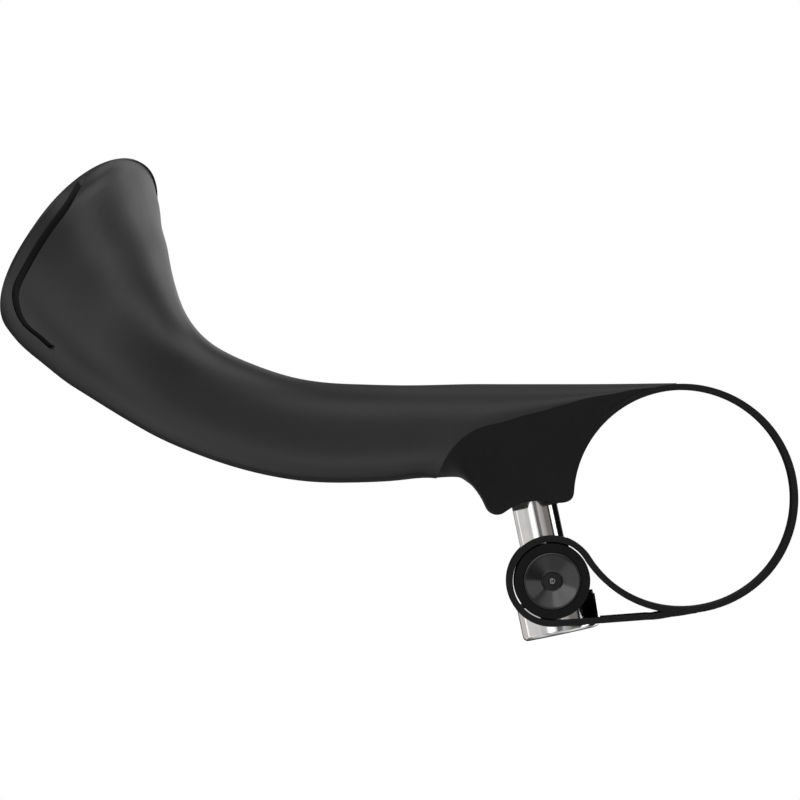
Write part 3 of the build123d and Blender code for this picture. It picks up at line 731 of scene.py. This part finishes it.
# the flat front cap is taken off and the domed face put in its place
best = max((f for f in bm.faces if len(f.verts) > 20), key=lambda f: (Vector(RIM_N)).dot(f.calc_center_median()))
bmesh.ops.delete(bm, geom=[best], context="FACES_ONLY")
vs = [bm.verts.new(Vector(v) * MM) for v in V]
for f in F:
    bm.faces.new([vs[i] for i in f])
bmesh.ops.remove_doubles(bm, verts=bm.verts, dist=2e-6)
bmesh.ops.recalc_face_normals(bm, faces=bm.faces)
bm.to_mesh(glass.data); bm.free()
shade(glass, 25)


# ---------------------------------------------------------------- materials
def new_mat(name):
    m = bpy.data.materials.new(name)
    m.use_nodes = True
    nt = m.node_tree
    bsdf = next(n for n in nt.nodes if n.type == "BSDF_PRINCIPLED")
    return m, nt, bsdf


def node(nt, kind, **kw):
    n = nt.nodes.new(kind)
    for k, v in kw.items():
        setattr(n, k, v)
    return n


def tex_coord(nt):
    return node(nt, "ShaderNodeTexCoord").outputs["Object"]


def noise(nt, vec, scale, detail=2.0, rough=0.5):
    n = node(nt, "ShaderNodeTexNoise")
    n.inputs["Scale"].default_value = scale
    n.inputs["Detail"].default_value = detail
    n.inputs["Roughness"].default_value = rough
    nt.links.new(vec, n.inputs["Vector"])
    return n.outputs["Fac"]


def ramp(nt, fac, stops):
    r = node(nt, "ShaderNodeValToRGB")
    els = r.color_ramp.elements
    while len(els) < len(stops):
        els.new(0.5)
    for e, (p, c) in zip(els, stops):
        e.position = p
        e.color = (*c, 1) if isinstance(c, tuple) else (c, c, c, 1)
    nt.links.new(fac, r.inputs["Fac"])
    return r.outputs["Color"]


def map_range(nt, fac, a, b, lo=0.0, hi=1.0):
    m = node(nt, "ShaderNodeMapRange")
    for k, v in (("From Min", lo), ("From Max", hi), ("To Min", a), ("To Max", b)):
        m.inputs[k].default_value = v
    nt.links.new(fac, m.inputs["Value"])
    return m.outputs["Result"]


def bump(nt, bsdf, height, strength, distance):
    b = node(nt, "ShaderNodeBump")
    b.inputs["Strength"].default_value = strength
    b.inputs["Distance"].default_value = distance
    nt.links.new(height, b.inputs["Height"])
    nt.links.new(b.outputs["Normal"], bsdf.inputs["Normal"])
    return b


def edge_wear(nt, lo=0.52, hi=0.62):
    """0 on flat areas, up to 1 on sharp convex edges."""
    g = node(nt, "ShaderNodeNewGeometry")
    return map_range(nt, g.outputs["Pointiness"], 0.0, 1.0, lo, hi)


def mix_rgb(nt, fac, a, b):
    m = node(nt, "ShaderNodeMix", data_type="RGBA")
    if isinstance(fac, float):
        m.inputs["Factor"].default_value = fac
    else:
        nt.links.new(fac, m.inputs["Factor"])
    for key, v in (("A", a), ("B", b)):
        sock = [s for s in m.inputs if s.name == key and s.type == "RGBA"][0]
        if isinstance(v, tuple):
            sock.default_value = (*v, 1)
        else:
            nt.links.new(v, sock)
    return [s for s in m.outputs if s.type == "RGBA"][0]


def plastic(name, dark, light, r_lo, r_hi, grain_scale, grain_strength, grain_dist, tint=(1, 1, 1.01), spec=0.5,
            wear=None, coat=0.0):
    m, nt, b = new_mat(name)
    v = tex_coord(nt)
    cloud = noise(nt, v, 55, 3, 0.55)
    fine = noise(nt, v, grain_scale, 2, 0.6)
    c = ramp(nt, cloud, [(0.3, tuple(dark * t for t in tint)), (0.7, tuple(light * t for t in tint))])
    speck = ramp(nt, fine, [(0.35, tuple(dark * 0.82 * t for t in tint)), (0.75, tuple(light * 1.12 * t for t in tint))])
    c = mix_rgb(nt, 0.3, c, speck)
    if wear:
        c = mix_rgb(nt, edge_wear(nt), c, wear)
    nt.links.new(c, b.inputs["Base Color"])
    nt.links.new(map_range(nt, noise(nt, v, 140, 3, 0.6), r_lo, r_hi, 0.25, 0.75), b.inputs["Roughness"])
    b.inputs["Specular IOR Level"].default_value = spec
    if coat:
        b.inputs["Coat Weight"].default_value = coat
        b.inputs["Coat Roughness"].default_value = 0.08
    bump(nt, b, fine, grain_strength, grain_dist)
    return m


M_ARM = plastic("satin_charcoal", 0.031, 0.037, 0.36, 0.44, 3200, 0.22, 0.00004)
# painted shade: a darker copy of the arm's satin charcoal on the underside strip, standing in for the shade under the
# arm
M_UNDERSIDE_PAINTED_SHADE = plastic("satin_charcoal_painted_underside_shade", 0.013, 0.016, 0.48, 0.56, 3200, 0.22, 0.00004)
M_BASE = plastic("soft_black_rubber", 0.0062, 0.0078, 0.62, 0.74, 2600, 0.35, 0.00005, spec=0.34)
M_STRAP = plastic("strap_black", 0.0066, 0.0084, 0.58, 0.68, 2600, 0.3, 0.00005, spec=0.36)
M_BARREL = plastic("barrel_black", 0.0042, 0.0056, 0.50, 0.62, 3000, 0.25, 0.00004, spec=0.26)
M_CAP = plastic("cap_gloss", 0.019, 0.023, 0.11, 0.15, 5000, 0.05, 0.00002, spec=0.6)
# painted shade: a darker black for the floor of the groove, standing in for the shadow in the groove
M_GROOVE_PAINTED_SHADE = plastic("groove_shadow_black", 0.010, 0.013, 0.6, 0.7, 3200, 0.22, 0.00004, spec=0.25)
M_CARRIER = plastic("carrier_black", 0.012, 0.016, 0.5, 0.6, 2600, 0.25, 0.00004)
M_LINER = plastic("acetal_natural", 0.70, 0.76, 0.28, 0.36, 2600, 0.08, 0.00002, tint=(1, 0.985, 0.93))


def foam():
    m, nt, b = new_mat("adhesive_foam")
    v = tex_coord(nt)
    vo = node(nt, "ShaderNodeTexVoronoi"); vo.inputs["Scale"].default_value = 2400
    nt.links.new(v, vo.inputs["Vector"])
    c = ramp(nt, vo.outputs["Distance"], [(0.1, (0.05, 0.05, 0.052)), (0.7, (0.13, 0.13, 0.135))])
    nt.links.new(c, b.inputs["Base Color"])
    b.inputs["Roughness"].default_value = 0.9
    bump(nt, b, vo.outputs["Distance"], 0.6, 0.00012)
    return m


def metal(name, lo, hi, r_lo, r_hi, stretch, scale, strength, dist):
    """lo and hi are the two ends of the metal's colour; stretch flattens the noise into fine lines."""
    m, nt, b = new_mat(name)
    v = tex_coord(nt)
    mp = node(nt, "ShaderNodeMapping")
    mp.inputs["Scale"].default_value = stretch
    mp.inputs["Rotation"].default_value = (0, TILT, 0)
    nt.links.new(v, mp.inputs["Vector"])
    f = noise(nt, mp.outputs["Vector"], scale, 3, 0.6)
    c = ramp(nt, f, [(0.3, lo), (0.7, hi)])
    nt.links.new(c, b.inputs["Base Color"])
    b.inputs["Metallic"].default_value = 1.0
    nt.links.new(map_range(nt, noise(nt, v, 260, 3, 0.6), r_lo, r_hi, 0.25, 0.75), b.inputs["Roughness"])
    bump(nt, b, f, strength, dist)
    return m


M_CHROME = metal("chrome_plate", (0.66, 0.66, 0.665), (0.72, 0.72, 0.725), 0.07, 0.12, (1, 1, 1), 700, 0.03, 0.00001)
M_STEEL = metal("plain_steel", (0.50, 0.50, 0.505), (0.60, 0.60, 0.60), 0.22, 0.34, (1, 1, 9), 900, 0.12, 0.00002)
M_PIN = metal("pin_steel", (0.20, 0.20, 0.20), (0.27, 0.27, 0.27), 0.16, 0.24, (1, 1, 1), 900, 0.12, 0.00002)
M_BRASS = metal("turned_brass", (0.66, 0.48, 0.22), (0.78, 0.60, 0.30), 0.22, 0.32, (1, 1, 9), 900, 0.12, 0.00002)


def mirror():
    m, nt, b = new_mat("silvered_glass")
    v = tex_coord(nt)
    f = noise(nt, v, 40, 3, 0.6)
    # a darker ground rim round the silvered face, by distance from the face's centre line
    sep = node(nt, "ShaderNodeVectorMath", operation="SUBTRACT")
    nt.links.new(v, sep.inputs[0]); sep.inputs[1].default_value = tuple(GC * MM)
    d1 = node(nt, "ShaderNodeVectorMath", operation="DOT_PRODUCT")
    nt.links.new(sep.outputs[0], d1.inputs[0]); d1.inputs[1].default_value = tuple(RIM_E1 / ((G_H - 0.45) * MM))
    d2 = node(nt, "ShaderNodeVectorMath", operation="DOT_PRODUCT")
    nt.links.new(sep.outputs[0], d2.inputs[0]); d2.inputs[1].default_value = tuple(RIM_E2 / ((G_W - 0.45) * MM))
    p = []
    for d in (d1, d2):
        a = node(nt, "ShaderNodeMath", operation="ABSOLUTE"); nt.links.new(d.outputs["Value"], a.inputs[0])
        q = node(nt, "ShaderNodeMath", operation="POWER"); nt.links.new(a.outputs[0], q.inputs[0])
        q.inputs[1].default_value = 2.1
        p.append(q.outputs[0])
    s = node(nt, "ShaderNodeMath", operation="ADD")
    nt.links.new(p[0], s.inputs[0]); nt.links.new(p[1], s.inputs[1])
    edge = map_range(nt, s.outputs[0], 0.0, 1.0, 0.97, 1.03)
    silver = ramp(nt, f, [(0.3, (0.86, 0.875, 0.88)), (0.7, (0.90, 0.91, 0.915))])
    c = mix_rgb(nt, edge, silver, (0.05, 0.07, 0.065))
    nt.links.new(c, b.inputs["Base Color"])
    nt.links.new(map_range(nt, edge, 1.0, 0.35), b.inputs["Metallic"])
    nt.links.new(map_range(nt, f, 0.012, 0.03), b.inputs["Roughness"])
    b.inputs["Coat Weight"].default_value = 0.6
    b.inputs["Coat Roughness"].default_value = 0.02
    return m


M_MIRROR = mirror()
M_FOAM = foam()


def paint(ob, mat):
    ob.data.materials.clear()
    ob.data.materials.append(mat)
    for p in ob.data.polygons:
        p.material_index = 0


def cad_paint(name, mat):
    """Material slots only: the CAD mesh stays as it is."""
    o = NODES[name]
    if not o.material_slots:
        o.data.materials.append(mat)
    for s in o.material_slots:
        s.material = mat


for o, m, body, cad, slot_name in (
        (arm, M_ARM, "arm", "arm_shell", "satin_plastic"),
        (cover, M_UNDERSIDE_PAINTED_SHADE, "arm", "underside_cover", "satin_plastic"),
        (base, M_BASE, "arm", "clamp_base", "soft_rubber"),
        (screw, M_CHROME, "screw", "clamp_screw", "chrome"),
        (barrel, M_BARREL, "barrel", "barrel", "barrel_plastic"),
        (glass, M_MIRROR, "mirror", "mirror_glass", "mirror")):
    paint(o, m)
    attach(o, body)
    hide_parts(cad)
for o in caps:
    paint(o, M_CAP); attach(o, "barrel"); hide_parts("barrel_end_caps")
for o in pins:
    paint(o, M_PIN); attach(o, "barrel"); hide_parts("cap_pins")
paint(strap, M_STRAP)
# along this line the end fixed under the arm comes before the start, so it stays where it is
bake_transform(strap)
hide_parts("strap")
for name, m in (("thrust_washer", M_STEEL), ("threaded_insert", M_BRASS), ("ball_stud", M_STEEL),
                ("socket_liner", M_LINER), ("glass_carrier", M_CARRIER), ("adhesive_pad", M_FOAM)):
    cad_paint(name, m)

# painted shade: the floor of the groove is painted darker than the skin round it, standing in for the shadow in the
# groove
arm.data.materials.append(M_GROOVE_PAINTED_SHADE)
pc = np.empty(len(arm.data.polygons) * 3)
arm.data.polygons.foreach_get("center", pc)
pc = pc.reshape(-1, 3) / MM
cand = np.where((pc[:, 0] < -80) & (pc[:, 1] < 0))[0]
for a in range(0, len(cand), 20000):
    ids = cand[a:a + 20000]
    dv = pc[ids][:, None] - g3[None]
    kk = (dv ** 2).sum(2).argmin(1)
    dd_ = dv[np.arange(len(ids)), kk]
    below = (dd_ * gn[kk]).sum(1)
    across = np.abs((dd_ * side_[kk]).sum(1))
    along = np.abs((dd_ * tan_[kk]).sum(1))
    for i_ in ids[(below < -0.05) & (across < 0.60) & (below > -1.0) & (kk > 3) & (along < 0.30)]:
        arm.data.polygons[int(i_)].material_index = 1

# ---------------------------------------------------------------- studio
floor_mat, nt, b = new_mat("studio_floor")
vv = tex_coord(nt)
nt.links.new(ramp(nt, noise(nt, vv, 6, 2), [(0.3, (0.80, 0.80, 0.80)), (0.7, (0.83, 0.83, 0.83))]), b.inputs["Base Color"])
b.inputs["Roughness"].default_value = 0.9
b.inputs["Specular IOR Level"].default_value = 0.1
out = next(n for n in nt.nodes if n.type == "OUTPUT_MATERIAL")
tr = node(nt, "ShaderNodeBsdfTransparent")
gm = node(nt, "ShaderNodeNewGeometry")
mx = node(nt, "ShaderNodeMixShader")
nt.links.new(gm.outputs["Backfacing"], mx.inputs[0])
nt.links.new(b.outputs[0], mx.inputs[1]); nt.links.new(tr.outputs[0], mx.inputs[2])
nt.links.new(mx.outputs[0], out.inputs["Surface"])
fl_v = [(1100 * math.cos(a), 1100 * math.sin(a), -85.0) for a in np.linspace(0, 2 * math.pi, 96, endpoint=False)]
floor = mesh_object("studio_floor", fl_v, [tuple(range(96))], smooth=False)
if floor.data.polygons[0].normal.z < 0:
    floor.data.flip_normals()
paint(floor, floor_mat)
floor.visible_glossy = False
floor.visible_diffuse = False
floor.visible_shadow = False

world = bpy.data.worlds.new("studio")
bpy.context.scene.world = world
world.use_nodes = True
wt = world.node_tree


def panel(vec, direction, inner_deg, outer_deg, squash, value):
    """Soft light panel seen in one direction; squash below 1 makes it taller than wide."""
    d = Vector(direction)
    d = Vector((d.x, d.y, d.z * squash)).normalized()
    sq = node(wt, "ShaderNodeVectorMath", operation="MULTIPLY")
    wt.links.new(vec, sq.inputs[0]); sq.inputs[1].default_value = (1, 1, squash)
    un = node(wt, "ShaderNodeVectorMath", operation="NORMALIZE")
    wt.links.new(sq.outputs[0], un.inputs[0])
    dp = node(wt, "ShaderNodeVectorMath", operation="DOT_PRODUCT")
    wt.links.new(un.outputs[0], dp.inputs[0]); dp.inputs[1].default_value = d
    mr = node(wt, "ShaderNodeMapRange", interpolation_type="SMOOTHSTEP")
    wt.links.new(dp.outputs["Value"], mr.inputs["Value"])
    mr.inputs["From Min"].default_value = math.cos(math.radians(outer_deg))
    mr.inputs["From Max"].default_value = math.cos(math.radians(inner_deg))
    mr.inputs["To Min"].default_value = 0.0
    mr.inputs["To Max"].default_value = value
    return mr.outputs["Result"]


def add(a, b_):
    m = node(wt, "ShaderNodeMath", operation="ADD")
    for k, v in enumerate((a, b_)):
        if isinstance(v, float):
            m.inputs[k].default_value = v
        else:
            wt.links.new(v, m.inputs[k])
    return m.outputs[0]


def build_world(ambient, panels):
    """Panels light the object; the camera itself sees plain white."""
    wt.nodes.clear()
    wo = node(wt, "ShaderNodeOutputWorld")
    vec = node(wt, "ShaderNodeTexCoord").outputs["Generated"]
    total = ambient
    for az, el, inner, outer, squash, value in panels:
        a_, e_ = math.radians(az), math.radians(el)
        d = (math.sin(a_) * math.cos(e_), -math.cos(a_) * math.cos(e_), math.sin(e_))
        total = add(total, panel(vec, d, inner, outer, squash, value))
    bg_light = node(wt, "ShaderNodeBackground")
    wt.links.new(total, bg_light.inputs["Color"])
    bg_white = node(wt, "ShaderNodeBackground")
    bg_white.inputs["Color"].default_value = (1, 1, 1, 1)
    lp = node(wt, "ShaderNodeLightPath")
    mixw = node(wt, "ShaderNodeMixShader")
    wt.links.new(lp.outputs["Is Camera Ray"], mixw.inputs[0])
    wt.links.new(bg_light.outputs[0], mixw.inputs[1])
    wt.links.new(bg_white.outputs[0], mixw.inputs[2])
    wt.links.new(mixw.outputs[0], wo.inputs["Surface"])


# azimuth from the camera's side towards +x, elevation, inner and outer angle, squash, brightness
AMBIENT = 0.004
PANELS = [(-135, 0, 2, 16, 0.35, 0.055),
          (-30, 0, 2, 16, 0.35, 1.024),
          (0, 0, 2, 16, 0.35, 0.186),
          (15, 0, 2, 16, 0.35, 0.246),
          (75, 0, 2, 16, 0.35, 1.562),
          (135, 0, 2, 16, 0.35, 1.423),
          (150, 0, 2, 16, 0.35, 0.095),
          (165, 0, 2, 16, 0.35, 0.866),
          (-180, 48, 5, 34, 1, 0.097),
          (-135, 48, 5, 34, 1, 0.581),
          (-90, 48, 5, 34, 1, 1.463),
          (0, 48, 5, 34, 1, 1.017),
          (90, 48, 5, 34, 1, 1.329),
          (135, 48, 5, 34, 1, 0.081),
          (-135, -48, 5, 34, 1, 0.250),
          (-90, -48, 5, 34, 1, 0.624),
          (-45, -48, 5, 34, 1, 0.345),
          (0, -48, 5, 34, 1, 0.449),
          (45, -48, 5, 34, 1, 0.513),
          (90, -48, 5, 34, 1, 0.698),
          (0, 90, 8, 36, 1, 0.040),
          (0, -90, 8, 36, 1, 0.241)]
build_world(AMBIENT, PANELS)


def softbox(name, loc, target, w, h, power, color=(1, 1, 1)):
    ld = bpy.data.lights.new(name, "AREA")
    ld.shape, ld.size, ld.size_y, ld.energy, ld.color = "RECTANGLE", w, h, power, color
    ob = bpy.data.objects.new(name, ld)
    ob.location = loc
    ob.rotation_mode = "QUATERNION"
    ob.rotation_quaternion = (Vector(target) - Vector(loc)).to_track_quat("-Z", "Y")
    bpy.context.scene.collection.objects.link(ob)
    return ob


AIM = (-0.045, 0, 0.012)
softbox("key_top", (-0.15, -0.12, 0.75), AIM, 0.7, 0.5, 0.02)


def linked(name, objects):
    c = bpy.data.collections.new(name)
    for o in objects:
        c.objects.link(o)
    return c


def side_panel(name, az, el, dist, w, h, radiance, group, color=(1, 1, 1)):
    """Soft panel aimed at the barrel that lights only one group of parts."""
    a_, e_ = math.radians(az), math.radians(el)
    d = Vector((math.sin(a_) * math.cos(e_), -math.cos(a_) * math.cos(e_), math.sin(e_)))
    aim = Vector((BC[0] * MM, 0, BC[2] * MM))
    ob = softbox(name, aim + d * dist, aim, w, h, radiance * math.pi * w * h, color)
    ob.light_linking.receiver_collection = group
    ob.visible_camera = False
    return ob


plated = linked("plated_parts", [screw])
side_panel("screw_left_back", -136, -8, 1.0, 0.85, 0.75, 0.62, plated, (1, 0.985, 0.96))
side_panel("screw_left", -92, -10, 1.0, 1.05, 0.75, 0.80, plated, (1, 0.985, 0.96))
side_panel("screw_left_front", -38, -8, 1.0, 0.95, 0.75, 0.70, plated, (1, 0.985, 0.96))
side_panel("screw_front", 28, -4, 1.0, 0.95, 0.70, 0.22, plated, (1, 0.95, 0.90))
side_panel("screw_right", 75, 4, 1.0, 0.45, 0.75, 0.85, plated)
side_panel("screw_right_back", 158, 8, 1.0, 0.70, 0.75, 0.80, plated)
padded = linked("base_pad_only", [base])
side_panel("base_left_back", -138, -24, 1.0, 0.9, 0.6, 1.3, padded)
silvered = linked("silvered_glass", [glass])
side_panel("glass_sky", -111, 33, 1.3, 3.0, 3.0, 0.30, silvered, (0.97, 0.985, 1))
side_panel("glass_window", -140, 52, 1.3, 0.9, 0.9, 0.45, silvered, (1, 0.99, 0.97))
glossy_caps = linked("glossy_caps", caps)
side_panel("cap_upper_left", -24, 28, 1.0, 0.66, 0.66, 1.35, glossy_caps)
side_panel("cap_upper_right", 34, 11, 1.0, 0.30, 0.46, 0.9, glossy_caps)

# ---------------------------------------------------------------- camera
cam_d = bpy.data.cameras.new("camera")
cam = bpy.data.objects.new("camera", cam_d)
bpy.context.scene.collection.objects.link(cam)
K = 0.14654
DIST = 2.8
cam_d.sensor_width = 36.0
cam_d.lens = 18.0 / (400 * K / (DIST * 1000))
cam.location = ((400 - 682.5) * K * MM, -DIST - 0.009, (498.6 - 400) * K * MM)
cam.rotation_euler = (math.radians(90), 0, 0)
cam_d.clip_start, cam_d.clip_end = 0.05, 50
bpy.context.scene.camera = cam
bpy.context.scene.view_settings.view_transform = "Standard"
bpy.context.scene.view_settings.look = "None"
